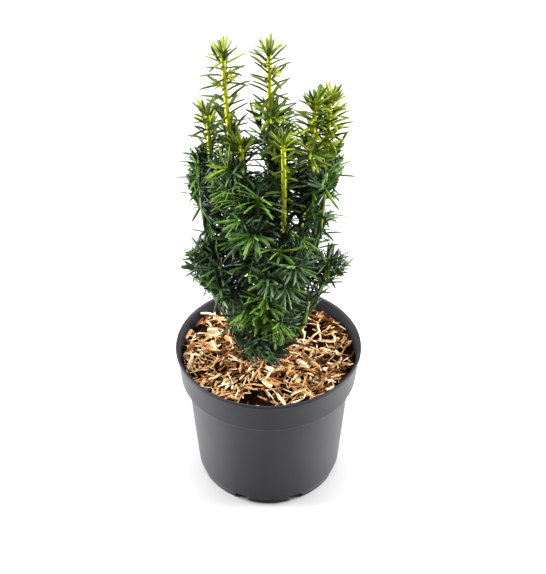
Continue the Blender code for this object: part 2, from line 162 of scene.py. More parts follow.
# %% Lights
LIGHT_DISTANCE = 1.35
LIGHT_HEIGHT = 0.75
SIDE_LIGHT_TURN = math.radians(98)  # from the front
SIDE_LIGHT_SIZE = (0.8, 1.3)
SIDE_LIGHT_POWER = 52
TOP_LIGHT_PLACE = Vector((0, 0.25, 1.7))
TOP_LIGHT_SIZE = (1.4, 1.4)
TOP_LIGHT_POWER = 38
AIM = Vector((0, 0, 0.22))


def soft_light(name, place, size, power):
    data = bpy.data.lights.new(name, "AREA")
    data.shape = "RECTANGLE"
    data.size, data.size_y = size
    data.energy = power
    light = add_object(name, data)
    light.location = place
    light.rotation_euler = (AIM - place).to_track_quat("-Z", "Y").to_euler()


for side_name, side in (("left", -1), ("right", 1)):
    sideways = side * LIGHT_DISTANCE * math.sin(SIDE_LIGHT_TURN)
    backwards = -LIGHT_DISTANCE * math.cos(SIDE_LIGHT_TURN)
    place = Vector((sideways, backwards, LIGHT_HEIGHT))
    soft_light(side_name + "_light", place, SIDE_LIGHT_SIZE, SIDE_LIGHT_POWER)
soft_light("top_light", TOP_LIGHT_PLACE, TOP_LIGHT_SIZE, TOP_LIGHT_POWER)

# %% [markdown]
# The room round the floor is white to the eye, as a paper sweep behind a product would be. A world
# as bright as that would light the plant from every side and wash out the shadows between its
# needles. So the camera sees a white world, and everything else gets only a fraction of its light.

# %% Room
WHITE = (1, 1, 1, 1)
ROOM_LIGHT = 0.22
ROOM_WHITE = 1.0

world = bpy.data.worlds.new("pale_room")
world.use_nodes = True
room_nodes, room_links = world.node_tree.nodes, world.node_tree.links
lights_with = room_nodes["Background"]
looks_like = room_nodes.new("ShaderNodeBackground")
for background, strength in ((lights_with, ROOM_LIGHT), (looks_like, ROOM_WHITE)):
    background.inputs["Color"].default_value = WHITE
    background.inputs["Strength"].default_value = strength
ray = room_nodes.new("ShaderNodeLightPath")
seen = room_nodes.new("ShaderNodeMixShader")
room_links.new(ray.outputs["Is Camera Ray"], seen.inputs["Fac"])
room_links.new(lights_with.outputs["Background"], seen.inputs[1])
room_links.new(looks_like.outputs["Background"], seen.inputs[2])
room_links.new(seen.outputs["Shader"], room_nodes["World Output"].inputs["Surface"])
bpy.context.scene.world = world
bpy.context.scene.view_settings.view_transform = "Standard"
bpy.context.scene.view_settings.look = "Medium High Contrast"
print("room light:", ROOM_LIGHT)

# %% [markdown]
# ## Finishes
#
# Every finish is a Principled shader. Its colour wanders a little through a noise read in Object
# coordinates, and a finer noise gives bump. What is the same all over, such as roughness, is set
# on the shader itself.

# %% A helper that makes a mottled finish
RAMP_START, RAMP_END = 0.32, 0.68  # where the noise turns wholly dark and wholly light
PATCH_DETAIL = 4
GRAIN_DETAIL = 6


def mottled(name, colours, size, roughness, bump, gloss=0.5, stretch=(1, 1, 1)):
    """A finish that wanders from a dark to a light colour over this size.

    bump is the size and the depth of the grain that stands up from it.
    """
    dark, light = colours
    bump_size, bump_depth = bump
    material = bpy.data.materials.new(name)
    material.use_nodes = True
    nodes, links = material.node_tree.nodes, material.node_tree.links
    shader = nodes["Principled BSDF"]
    shader.inputs["Roughness"].default_value = roughness
    shader.inputs["Specular IOR Level"].default_value = gloss
    place = nodes.new("ShaderNodeTexCoord")
    turn = nodes.new("ShaderNodeMapping")
    turn.inputs["Scale"].default_value = stretch
    links.new(place.outputs["Object"], turn.inputs["Vector"])
    patches, grain = nodes.new("ShaderNodeTexNoise"), nodes.new("ShaderNodeTexNoise")
    for texture, width, detail in (
        (patches, size, PATCH_DETAIL),
        (grain, bump_size, GRAIN_DETAIL),
    ):
        texture.inputs["Scale"].default_value = 1 / width
        texture.inputs["Detail"].default_value = detail
        links.new(turn.outputs["Vector"], texture.inputs["Vector"])
    ramp = nodes.new("ShaderNodeValToRGB")
    start, end = ramp.color_ramp.elements
    start.position, start.color = RAMP_START, (*dark, 1)
    end.position, end.color = RAMP_END, (*light, 1)
    links.new(patches.outputs["Fac"], ramp.inputs["Fac"])
    links.new(ramp.outputs["Color"], shader.inputs["Base Color"])
    bump = nodes.new("ShaderNodeBump")
    bump.inputs["Strength"].default_value = 1.0
    bump.inputs["Distance"].default_value = bump_depth
    links.new(grain.outputs["Fac"], bump.inputs["Height"])
    links.new(bump.outputs["Normal"], shader.inputs["Normal"])
    return material


# %% [markdown]
# ## The pot
#
# A nursery pot is injection moulded: a thin tapered body, a wider collar that other pots stack
# on, and a small bead round the rim that keeps the edge stiff. It could be turned from a profile,
# but raising it ring by ring from a filled circle is the same thing done by hand, and each
# corner gets its own rounding as a short arc. The wall goes up outside, over the bead and down
# again inside, so it is one closed shell.

# %% Sizes of the pot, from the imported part
pot_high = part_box("pot")[1]
POT_HEIGHT = pot_high[2]
RIM_RADIUS = pot_high[0]
RIM_BEAD = 1.1 * MM
RIM_BEAD_HEIGHT = 3.2 * MM
COLLAR_HEIGHT = 33 * MM
COLLAR_FOOT_RADIUS = 81.4 * MM
BODY_TOP_RADIUS = 75.6 * MM
BODY_FOOT_RADIUS = 67.6 * MM
FOOT_RADIUS = 66 * MM
FOOT_HEIGHT = 5 * MM
FOOT_WIDTH = 6 * MM
FLOOR_HEIGHT = 4 * MM
WALL = 1.6 * MM
POT_SIDES = 96
COLLAR_FOOT = POT_HEIGHT - COLLAR_HEIGHT


def collar_radius(height):
    """Outer radius of the collar's wall at a height."""
    share = (POT_HEIGHT - height) / COLLAR_HEIGHT
    return RIM_RADIUS - RIM_BEAD + (COLLAR_FOOT_RADIUS - RIM_RADIUS + RIM_BEAD) * share


print("pot:", round(RIM_RADIUS * 2000, 1), "mm wide and", round(POT_HEIGHT * 1000, 1), "mm high")

# %% Raising a round wall ring by ring
def arc(centre, radius, start, end, steps):
    """Points (radius, height) on an arc between two angles in degrees."""
    angles = [math.radians(start + (end - start) * i / steps) for i in range(steps + 1)]
    return [(centre[0] + radius * math.cos(a), centre[1] + radius * math.sin(a)) for a in angles]


def raise_rings(name, rings, sides):
    """A filled circle whose edge is extruded through the rings, the last drawn together."""
    deselect_all()
    radius, height = rings[0]
    bpy.ops.mesh.primitive_circle_add(
        vertices=sides, radius=radius, fill_type="TRIFAN", location=(0, 0, height)
    )
    obj = bpy.context.object
    obj.name = name
    bpy.ops.object.mode_set(mode="EDIT")
    bpy.ops.mesh.select_mode(type="EDGE")
    bpy.ops.mesh.select_all(action="DESELECT")
    bpy.ops.mesh.select_non_manifold()
    for (radius, height), (next_radius, next_height) in zip(rings, rings[1:]):
        bpy.ops.mesh.extrude_region()
        bpy.ops.transform.resize(value=(next_radius / radius, next_radius / radius, 1))
        bpy.ops.transform.translate(value=(0, 0, next_height - height))
    bpy.ops.mesh.merge(type="CENTER")
    leave_edit_mode()
    bpy.ops.object.transform_apply(location=True, rotation=True, scale=True)
    return obj


# %% The pot's shell
# each ring is (radius, height), and arcs run between two angles in degrees
SHOULDER_ROUND = 2.4 * MM
BEAD_ROUND = 0.9 * MM
FOOT_ROUND = 1.0 * MM
ABOVE_DRAINS = 10 * MM

foot = [
    (FOOT_RADIUS - FOOT_WIDTH, FLOOR_HEIGHT),
    (FOOT_RADIUS - FOOT_WIDTH + 0.6 * MM, 0.4 * MM),
    (FOOT_RADIUS - FOOT_WIDTH + 1 * MM, 0),
]
foot += arc((FOOT_RADIUS - FOOT_ROUND, FOOT_ROUND), FOOT_ROUND, -90, 0, 3)
foot += [
    (FOOT_RADIUS, FOOT_HEIGHT),
    (BODY_FOOT_RADIUS - 0.4 * MM, FOOT_HEIGHT + 0.5 * MM),
    (BODY_FOOT_RADIUS, FOOT_HEIGHT + 1.5 * MM),
    (BODY_FOOT_RADIUS + 0.3 * MM, ABOVE_DRAINS),
]
shoulder = [
    (BODY_TOP_RADIUS - 0.2 * MM, COLLAR_FOOT - 2.6 * MM),
    (BODY_TOP_RADIUS + 0.3 * MM, COLLAR_FOOT - 1.2 * MM),
    (BODY_TOP_RADIUS + 1.3 * MM, COLLAR_FOOT - 0.5 * MM),
]
shoulder_centre = (COLLAR_FOOT_RADIUS - SHOULDER_ROUND, COLLAR_FOOT + SHOULDER_ROUND)
shoulder += arc(shoulder_centre, SHOULDER_ROUND, -80, 0, 5)
bead_foot = POT_HEIGHT - RIM_BEAD_HEIGHT
bead = [
    (collar_radius(bead_foot), bead_foot - 1.0 * MM),
    (collar_radius(bead_foot) + 0.2 * MM, bead_foot - 0.3 * MM),
]
bead += arc((RIM_RADIUS - BEAD_ROUND, bead_foot + BEAD_ROUND), BEAD_ROUND, -50, 0, 3)
bead += arc((RIM_RADIUS - BEAD_ROUND, POT_HEIGHT - BEAD_ROUND), BEAD_ROUND, 0, 90, 4)
inner_rim = RIM_RADIUS - RIM_BEAD - WALL
inside = arc((inner_rim + BEAD_ROUND, POT_HEIGHT - BEAD_ROUND), BEAD_ROUND, 90, 180, 3)
inside += [
    (COLLAR_FOOT_RADIUS - WALL, COLLAR_FOOT + 1.4 * MM),
    (BODY_TOP_RADIUS - WALL, COLLAR_FOOT + 0.4 * MM),
    (BODY_FOOT_RADIUS - WALL, FLOOR_HEIGHT + WALL + 1 * MM),
    (BODY_FOOT_RADIUS - WALL - 1 * MM, FLOOR_HEIGHT + WALL),
]
pot = raise_rings("pot_shell", foot + shoulder + bead + inside, POT_SIDES)

# %% Drain slots through the lower corner
DRAIN_COUNT = 8
DRAIN_SIZE = (16 * MM, 13 * MM, 15 * MM)
DRAIN_ROUND = 1.5 * MM
MOULDED_ROUND = 0.3 * MM
SHARP_EDGE = math.radians(50)
SMOOTH_BELOW = math.radians(35)


def copies_joined(obj, places):
    """Copies a modelled object to each place, each with its own mesh, and joins them into one."""
    copies = []
    for place in places:
        copy = add_object(obj.name, obj.data.copy())
        copy.data.transform(place)
        copies.append(copy)
    bpy.data.objects.remove(obj)
    deselect_all()
    for copy in copies:
        copy.select_set(True)
    bpy.context.view_layer.objects.active = copies[0]
    bpy.ops.object.join()
    return bpy.context.object


deselect_all()
bpy.ops.mesh.primitive_cube_add(size=1, location=(FOOT_RADIUS, 0, 0), scale=DRAIN_SIZE)
bpy.ops.object.mode_set(mode="EDIT")
bpy.ops.mesh.bevel(offset=DRAIN_ROUND, segments=2, affect="EDGES")
bpy.ops.object.mode_set(mode="OBJECT")
bpy.ops.object.transform_apply(location=True, rotation=True, scale=True)
drain_turns = [
    Matrix.Rotation(math.tau * (i + 0.5) / DRAIN_COUNT, 4, "Z") for i in range(DRAIN_COUNT)
]
drain_cutter = copies_joined(bpy.context.object, drain_turns)
slots = pot.modifiers.new("drain_slots", "BOOLEAN")
slots.operation = "DIFFERENCE"
slots.solver = "EXACT"
slots.object = drain_cutter
edges = pot.modifiers.new("moulded_edges", "BEVEL")
edges.width = MOULDED_ROUND
edges.segments = 2
edges.limit_method = "ANGLE"
edges.angle_limit = SHARP_EDGE
apply_all_modifiers(pot)
bpy.data.objects.remove(drain_cutter)
only(pot)
bpy.ops.object.shade_smooth_by_angle(angle=SMOOTH_BELOW)
print("drain slots:", DRAIN_COUNT)

# %% Pot finish
pot_plastic = mottled(
    "grey_moulded_plastic",
    colours=((0.013, 0.013, 0.019), (0.020, 0.020, 0.028)),
    size=60 * MM,
    roughness=0.46,
    bump=(1.2 * MM, 0.03 * MM),
    gloss=0.3,
)
pot_shader = pot_plastic.node_tree.nodes["Principled BSDF"]
pot_shader.inputs["Sheen Weight"].default_value = 0.17
pot_shader.inputs["Sheen Roughness"].default_value = 0.45
finish_piece(pot, "pot_shell", [pot_plastic], ["pot"])

# %% [markdown]
# ## Soil and the bed under the wood
#
# The soil fills the pot and shows only in dark patches between the slivers of wood. The packed
# soil keeps its shape and gets a crumbly dark finish. Over it lies a bed of fine crumbs, a disc
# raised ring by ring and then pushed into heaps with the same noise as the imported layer. A flat
# disc with bump alone would leave the slivers standing on a visible plane.

# %% Soil
SOIL_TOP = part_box("soil")[1][2]
soil_finish = mottled(
    "moist_soil",
    colours=((0.010, 0.006, 0.004), (0.045, 0.026, 0.015)),
    size=2.5 * MM,
    roughness=0.9,
    bump=(1.5 * MM, 1.0 * MM),
    gloss=0.1,
)
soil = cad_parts["soil"]
soil.data.materials.clear()
soil.data.materials.append(soil_finish)
print("soil reaches", round(SOIL_TOP * 1000, 1), "mm")

# %% Height of the heaped wood
MULCH_TOP = 131 * MM
MULCH_LUMP = 3.6 * MM
MULCH_LUMP_SIZE = 17 * MM
MULCH_SMALL_LUMP = 1.6 * MM
MULCH_SMALL_LUMP_SIZE = 7 * MM
CRUMB = 1.4 * MM
CRUMB_SIZE = 2.6 * MM
BED_DEPTH = 6.5 * MM  # how far the bed lies below the slivers' middle


def mulch_height(x, y):
    lumps = noise.noise(Vector((x, y, 0)) / MULCH_LUMP_SIZE)
    small = noise.noise(Vector((x, y, 1 * MM)) / MULCH_SMALL_LUMP_SIZE)
    return MULCH_TOP + MULCH_LUMP * lumps + MULCH_SMALL_LUMP * small


# %% The bed
BED_RINGS = 44
BED_SIDES = 120
BED_CLEAR = 0.6 * MM  # from the pot's wall
BED_LIFT = 0.3 * MM  # from the soil
bed_radius = collar_radius(SOIL_TOP) - WALL - BED_CLEAR
bed_rings = [(bed_radius, SOIL_TOP + BED_LIFT), (bed_radius, MULCH_TOP - BED_DEPTH)]
bed_rings += [
    (bed_radius * (1 - i / BED_RINGS), MULCH_TOP - BED_DEPTH) for i in range(1, BED_RINGS)
]
bed = raise_rings("mulch_bed", bed_rings, BED_SIDES)
for vertex in bed.data.vertices:
    if vertex.co.z > SOIL_TOP + 1 * MM:
        crumbs = CRUMB * noise.noise(vertex.co / CRUMB_SIZE)
        vertex.co.z = mulch_height(vertex.co.x, vertex.co.y) - BED_DEPTH + crumbs
bed_finish = mottled(
    "dark_crumbs",
    colours=((0.005, 0.002, 0.001), (0.034, 0.012, 0.004)),
    size=3 * MM,
    roughness=0.9,
    bump=(1.2 * MM, 0.8 * MM),
    gloss=0.1,
)
finish_piece(bed, "mulch_bed", [bed_finish], ["wood_mulch"])

# %% [markdown]
# ## Slivers of wood
#
# Shredded wood is thousands of thin splinters that lie every way over each other. One splinter is
# modelled as a bar that comes to a ragged end, and then copied: each copy has its own length,
# width, bend, tilt and turn. The copies of one colour are joined into one mesh, because the
# finished model keeps meshes and drops particles. The colours are dealt out splinter by splinter.

# %% Modelling one bar by extruding a small polygon along Y
Template = namedtuple("Template", "points faces under")
FACES_DOWN = -0.2


def model_bar(name, sections, corners):
    """A bar of unit length along Y from (share, width, thickness) sections, pointed at its end."""
    deselect_all()
    share, width, thickness = sections[0]
    bpy.ops.mesh.primitive_circle_add(
        vertices=corners, radius=0.5, fill_type="NGON", rotation=(math.pi / 2, 0, 0)
    )
    obj = bpy.context.object
    obj.name = name
    bpy.ops.object.transform_apply(location=True, rotation=True, scale=True)
    bpy.ops.object.mode_set(mode="EDIT")
    bpy.ops.mesh.select_all(action="SELECT")
    bpy.ops.transform.resize(value=(width, 1, thickness), center_override=(0, 0, 0))
    for next_share, next_width, next_thickness in sections[1:]:
        bpy.ops.mesh.extrude_region()
        wider, thicker = next_width / width, next_thickness / thickness
        bpy.ops.transform.resize(value=(wider, 1, thicker), center_override=(0, share, 0))
        bpy.ops.transform.translate(value=(0, next_share - share, 0))
        share, width, thickness = next_share, next_width, next_thickness
    bpy.ops.mesh.extrude_region()
    bpy.ops.mesh.merge(type="CENTER")
    bpy.ops.transform.translate(value=(0, 1 - share, 0))
    leave_edit_mode()
    points = np.array([vertex.co[:] for vertex in obj.data.vertices])
    faces = [list(face.vertices) for face in obj.data.polygons]
    under = [face.normal.z < FACES_DOWN for face in obj.data.polygons]
    bpy.data.objects.remove(obj)
    print(f"{name}: {len(points)} points, {len(faces)} faces")
    return Template(points, faces, under)


# %% Copying a modelled bar along bent paths
Bent = namedtuple("Bent", "root axis out lean curl length width thickness")
LEAST_CURL = 1e-4  # a straight bar would divide by nothing


def bend(lean, curl, length, share):
    """How far a bent bar has come along its axis and outwards at a share of its length."""
    angle = lean + curl * share
    along_axis = (np.sin(angle) - np.sin(lean)) / curl * length
    along_out = (np.cos(lean) - np.cos(angle)) / curl * length
    return angle, along_axis, along_out


def bent_places(template, copies):
    """Points of every copy. Each leaves its root at its lean from axis and bends by its curl."""
    root, axis, out = (np.array([getattr(c, part)[:] for c in copies]) for part in Bent._fields[:3])
    rest = np.array([[getattr(c, part) for part in Bent._fields[3:]] for c in copies])
    lean, curl, length, width, thickness = rest.T[:, :, None]
    curl = np.where(np.abs(curl) < LEAST_CURL, LEAST_CURL, curl)
    angle, along_axis, along_out = bend(lean, curl, length, template.points[None, :, 1])
    sideways = np.cross(axis, out)
    raised = template.points[None, :, 2] * thickness
    along_axis = along_axis + raised * np.sin(angle)
    along_out = along_out - raised * np.cos(angle)
    across_it = template.points[None, :, 0] * width
    return (
        root[:, None, :]
        + along_axis[..., None] * axis[:, None, :]
        + along_out[..., None] * out[:, None, :]
        + across_it[..., None] * sideways[:, None, :]
    )


def join_copies(name, template, copies):
    """One mesh object of all the copies, its under faces in the second material."""
    places = bent_places(template, copies).reshape(-1, 3)
    step = len(template.points)
    faces = [[i + step * k for i in face] for k in range(len(copies)) for face in template.faces]
    mesh = bpy.data.meshes.new(name)
    mesh.from_pydata(places.tolist(), [], faces)
    second = np.tile(np.array(template.under, dtype=np.int32), len(copies))
    mesh.polygons.foreach_set("material_index", second)
    obj = add_object(name, mesh)
    only(obj)
    bpy.ops.object.mode_set(mode="EDIT")
    leave_edit_mode()
    return obj


# %% Where the splinters lie
splinter = model_bar(
    "splinter",
    [(0, 0.45, 0.5), (0.12, 0.9, 1), (0.5, 1, 1), (0.82, 0.8, 0.9), (0.95, 0.45, 0.5)],
    corners=4,
)
SPLINTER_COUNT = 1500
SPLINTER_REACH = 79 * MM
END_SLACK = 1 * MM
BARE_TRUNK = 7 * MM
# lengths, widths and depths in millimetres, the spreads of tilt, curl and roll in degrees
CHIP_CHANCE = 0.10
CHIP_LENGTHS, CHIP_WIDTHS = (10, 20), (3.2, 5.6)
SLIVER_LENGTHS, SLIVER_WIDTHS = (7, 15), (0.9, 2.5)
DRAWN_OUT = (1, 1, 1.6)
THICKNESS_SHARES = (0.3, 0.6)
DEPTHS = (-3.0, 2.8)
TILT_SPREAD, SPLINTER_CURL_SPREAD, ROLL_SPREAD = 17, 16, 22
# the share of splinters, and the dark and the light colour
WOOD_COLOURS = {
    "golden": (0.36, ((0.38, 0.20, 0.070), (0.70, 0.45, 0.22))),
    "cream": (0.25, ((0.72, 0.51, 0.29), (0.97, 0.81, 0.58))),
    "orange": (0.10, ((0.30, 0.105, 0.032), (0.48, 0.21, 0.08))),
    "brown": (0.18, ((0.085, 0.030, 0.008), (0.20, 0.088, 0.028))),
    "dark": (0.11, ((0.022, 0.007, 0.002), (0.055, 0.020, 0.006))),
}
DARK_PATCHES = [((3 * MM, -66 * MM), 20 * MM), ((42 * MM, 28 * MM), 18 * MM)]
PATCH_BARENESS = 0.8
HEAPED_SHARE = 0.75
HEAPED_SWING = 0.8
HEAP_SIZE = 9 * MM
HEAP_LEVEL = 7 * MM


def heaped(x, y):
    """How likely a splinter lies here: low in the patches where the soil shows."""
    chance = HEAPED_SHARE + HEAPED_SWING * noise.noise(Vector((x, y, HEAP_LEVEL)) / HEAP_SIZE)
    for (patch_x, patch_y), size in DARK_PATCHES:
        away = (x - patch_x) ** 2 + (y - patch_y) ** 2
        chance -= PATCH_BARENESS * math.exp(-away / size**2)
    return chance


def lay_splinter(draws):
    """One splinter in its place, or None too near the trunk or wall, or on a bare patch."""
    radius = SPLINTER_REACH * math.sqrt(draws.random())
    around = draws.uniform(0, math.tau)
    x, y = radius * math.cos(around), radius * math.sin(around)
    if radius < BARE_TRUNK or draws.random() > heaped(x, y):
        return None
    if draws.random() < CHIP_CHANCE:
        length = draws.uniform(*CHIP_LENGTHS) * MM
        width = draws.uniform(*CHIP_WIDTHS) * MM
    else:
        length = draws.uniform(*SLIVER_LENGTHS) * MM * draws.choice(DRAWN_OUT)
        width = draws.uniform(*SLIVER_WIDTHS) * MM
    heading = draws.uniform(0, math.tau)
    tilt = math.radians(draws.gauss(0, TILT_SPREAD))
    curl = math.radians(draws.gauss(0, SPLINTER_CURL_SPREAD))
    middle = Vector((x, y, mulch_height(x, y) + draws.uniform(*DEPTHS) * MM))
    axis = Vector((math.cos(heading), math.sin(heading), 0))
    roll = Matrix.Rotation(math.radians(draws.gauss(0, ROLL_SPREAD)), 3, axis)
    out = roll @ Vector((0, 0, 1))
    root = middle - axis * (0.5 * length)
    end = middle + axis * (0.5 * length)
    if max(root.xy.length, end.xy.length) > SPLINTER_REACH + END_SLACK:
        return None
    thickness = width * draws.uniform(*THICKNESS_SHARES)
    lean = tilt - 0.5 * curl
    root.z -= 0.5 * length * math.sin(tilt)
    return Bent(root, axis, out, lean, curl, length, width, thickness)


# %% The splinters, dealt out by colour
draws = random.Random(11)
splinters = {colour: [] for colour in WOOD_COLOURS}
shares = [share for share, colours in WOOD_COLOURS.values()]
while sum(map(len, splinters.values())) < SPLINTER_COUNT:
    laid = lay_splinter(draws)
    if laid:
        splinters[draws.choices(list(WOOD_COLOURS), shares)[0]].append(laid)
DRY_WOOD = dict(size=4 * MM, roughness=0.75, bump=(0.8 * MM, 0.25 * MM), gloss=0.15)
for colour, (share, colours) in WOOD_COLOURS.items():
    wood = join_copies(colour, splinter, splinters[colour])
    finish = mottled(colour + "_wood", colours, **DRY_WOOD)
    finish_piece(wood, colour + "_splinters", [finish, finish], [])

# %% [markdown]
# ## Trunk and boughs
#
# The trunk is as thick as a pencil at the soil and flares a little there. Every bough leaves it
# low down, runs outwards and turns up at its elbow. A branching skeleton with a skin could give
# the same limbs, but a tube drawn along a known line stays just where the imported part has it. So
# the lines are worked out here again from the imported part's named sizes. Only the tips of
# left_short, front_bright and right_low stand up to a centimetre off, where the photo shows them.

# %% The lines of trunk and shoots
TRUNK_TOP = Vector((3, 8, 262)) * MM
TRUNK_RADIUS = 4.3 * MM
TRUNK_TOP_RADIUS = 2.0 * MM
FLARE = 2.6 * MM
FLARE_HEIGHT = 9 * MM
BOUGH_RADIUS = 2.3 * MM
STEM_RADIUS = 1.6 * MM
TRUNK_POINTS = 12
SHOOT_POINTS = 40
PATH_STEP = 3 * MM
GAP = 0.3 * MM
GOLDEN_ANGLE = math.radians(137.508)

# foot is the height on the trunk where the shoot starts. bough is the share that is bare limb, and
# twigs counts the side twigs. young is the length of this year's growth, every the spacing of its
# needles, and bare the thinly leaved length above the bough. sprigs is how many finer twigs it
# can carry. Places and lengths are in millimetres.
Shoot = namedtuple("Shoot", "name foot elbow tip bough twigs young every bare sprigs")
SHOOTS = [
    Shoot("left_leader", 193, (-27, 1, 232), (-35, 0, 438), 0.20, 2, 74, 1.6, 0, 5),
    Shoot("left_short", 168, (-48, 15, 208), (-49, 14, 376), 0.24, 2, 38, 1.0, 0, 4),
    Shoot("left_high", 159, (-55, 1, 196), (-57, 2, 327), 0.28, 2, 0, 0, 0, 4),
    Shoot("left_low", 141, (-52, -10, 172), (-56, -10, 262), 0.34, 2, 0, 0, 16, 2),
    Shoot("inner_left", 181, (-20, -17, 236), (-21, -16, 366), 0.22, 2, 14, 1.0, 0, 4),
    Shoot("front_left", 148, (-34, -29, 184), (-40, -33, 256), 0.32, 2, 0, 0, 0, 2),
    Shoot("front_upper", 166, (-8, -33, 214), (-9, -35, 329), 0.26, 2, 0, 0, 0, 4),
    Shoot("front_bright", 141, (-5, -44, 172), (-2, -56, 242), 0.36, 1, 0, 0, 0, 3),
    Shoot("front_bottom", 133, (-6, -47, 150), (-8, -61, 202), 0.42, 1, 0, 0, 0, 4),
    Shoot("front_middle", 155, (13, -42, 198), (9, -46, 284), 0.30, 2, 0, 0, 34, 3),
    Shoot("front_leader", 178, (17, -29, 240), (12, -30, 374), 0.22, 2, 76, 2.6, 0, 3),
    Shoot("front_right_low", 139, (29, -35, 166), (34, -38, 222), 0.36, 1, 0, 0, 22, 0),
    Shoot("right_low", 142, (46, -9, 176), (51, -20, 255), 0.33, 1, 0, 0, 40, 2),
    Shoot("right_middle", 158, (44, -12, 206), (47, -15, 338), 0.28, 2, 0, 0, 50, 3),
    Shoot("right_leader", 188, (31, -5, 232), (38, -1, 396), 0.22, 2, 120, 0.75, 60, 5),
    Shoot("right_outer", 166, (47, 9, 208), (50, 9, 393), 0.24, 2, 60, 0.7, 70, 6),
    Shoot("back_right", 149, (36, 34, 184), (36, 37, 284), 0.32, 2, 0, 0, 50, 2),
    Shoot("back_middle", 156, (2, 42, 194), (3, 45, 300), 0.30, 2, 0, 0, 30, 2),
    Shoot("back_left", 147, (-34, 34, 184), (-32, 38, 284), 0.32, 2, 0, 0, 50, 2),
]
MIDDLE_LEADER = Shoot("middle_leader", 262, None, (1, 10, 434), 0, 3, 56, 1.6, 0, 5)


def bezier(start, elbow, end, share):
    return start * (1 - share) ** 2 + elbow * 2 * share * (1 - share) + end * share**2


def evenly(points, step):
    """The same line with points a step apart, ends included."""
    lengths = [0.0]
    for a, b in zip(points, points[1:]):
        lengths.append(lengths[-1] + (b - a).length)
    count = max(2, round(lengths[-1] / step) + 1)
    result = []
    k = 0
    for i in range(count):
        target = lengths[-1] * i / (count - 1)
        while k < len(points) - 2 and lengths[k + 1] < target:
            k += 1
        share = (target - lengths[k]) / (lengths[k + 1] - lengths[k])
        result.append(points[k].lerp(points[k + 1], min(1.0, share)))
    return result


trunk_base = Vector((0, 0, SOIL_TOP + GAP))
trunk_bow = Vector((0, 0, trunk_base.lerp(TRUNK_TOP, 0.5).z))
trunk_line = [
    bezier(trunk_base, trunk_bow, TRUNK_TOP, i / (TRUNK_POINTS - 1)) for i in range(TRUNK_POINTS)
]


def trunk_radius(height):
    share = (height - trunk_base.z) / (TRUNK_TOP.z - trunk_base.z)
    taper = TRUNK_RADIUS + (TRUNK_TOP_RADIUS - TRUNK_RADIUS) * share
    return taper + FLARE * math.exp(-(height - trunk_base.z) / FLARE_HEIGHT)


def at_height(line, height):
    for a, b in zip(line, line[1:]):
        if b.z >= height:
            return a.lerp(b, (height - a.z) / (b.z - a.z))
    return line[-1].copy()


def shoot_line(shoot):
    """The whole shoot, from the trunk's middle line to its tip."""
    start = at_height(trunk_line, shoot.foot * MM)
    elbow, tip = Vector(shoot.elbow) * MM, Vector(shoot.tip) * MM
    bent = [bezier(start, elbow, tip, i / SHOOT_POINTS) for i in range(SHOOT_POINTS + 1)]
    return evenly(bent, PATH_STEP)


boughs = {}
stems = {}
for shoot in SHOOTS:
    line = shoot_line(shoot)
    end = round(shoot.bough * (len(line) - 1))
    boughs[shoot.name] = line[: end + 1]
    onward = (line[end + 1] - line[end]).normalized()
    stems[shoot.name] = [line[end] + onward * GAP] + line[end + 1 :]
rise = (trunk_line[-1] - trunk_line[-2]).normalized()
stems["middle_leader"] = evenly(
    [TRUNK_TOP + rise * GAP, Vector(MIDDLE_LEADER.tip) * MM], PATH_STEP
)
print(len(boughs), "boughs and", len(stems), "stems")

# %% Tubes along lines, with relief
SAME_PLACE = 0.01 * MM
# the second noise of a relief is finer by this much and adds this share
FINER, FINE_SHARE = 2.7, 0.5


def draw_tubes(name, tubes, sides):
    """One mesh of round tubes, each a line and the radius at each of its points."""
    curve = bpy.data.curves.new(name, "CURVE")
    curve.dimensions = "3D"
    curve.twist_mode = "MINIMUM"
    curve.use_fill_caps = True
    curve.bevel_depth = MM
    curve.bevel_resolution = sides // 2 - 2  # which gives that many sides
    for line, radii in tubes:
        spline = curve.splines.new("POLY")
        spline.points.add(len(line) - 1)
        for point, place, radius in zip(spline.points, line, radii):
            point.co = (*place, 1)
            point.radius = radius / MM
    only(add_object(name, curve))
    bpy.ops.object.convert(target="MESH")
    obj = bpy.context.object
    bpy.ops.object.mode_set(mode="EDIT")
    bpy.ops.mesh.select_all(action="SELECT")
    bpy.ops.mesh.remove_doubles(threshold=SAME_PLACE)
    leave_edit_mode()
    bpy.ops.object.shade_smooth()
    return obj


def raise_relief(obj, depth, across, upwards):
    """Moves the skin in and out by a noise drawn out along the height, as bark splits."""
    moved = []
    for vertex in obj.data.vertices:
        x, y, z = vertex.co
        plates = noise.noise(Vector((x / across, y / across, z / upwards)))
        fine = noise.noise(Vector((x / across, y / across, z / upwards)) * FINER)
        moved.append(vertex.co + vertex.normal * depth * (plates + FINE_SHARE * fine))
    for vertex, place in zip(obj.data.vertices, moved):
        vertex.co = place


def taper(line, start, end):
    """A value for each point of a line that goes evenly from start to end."""
    count = len(line) - 1
    return [start + (end - start) * i / count for i in range(len(line))]


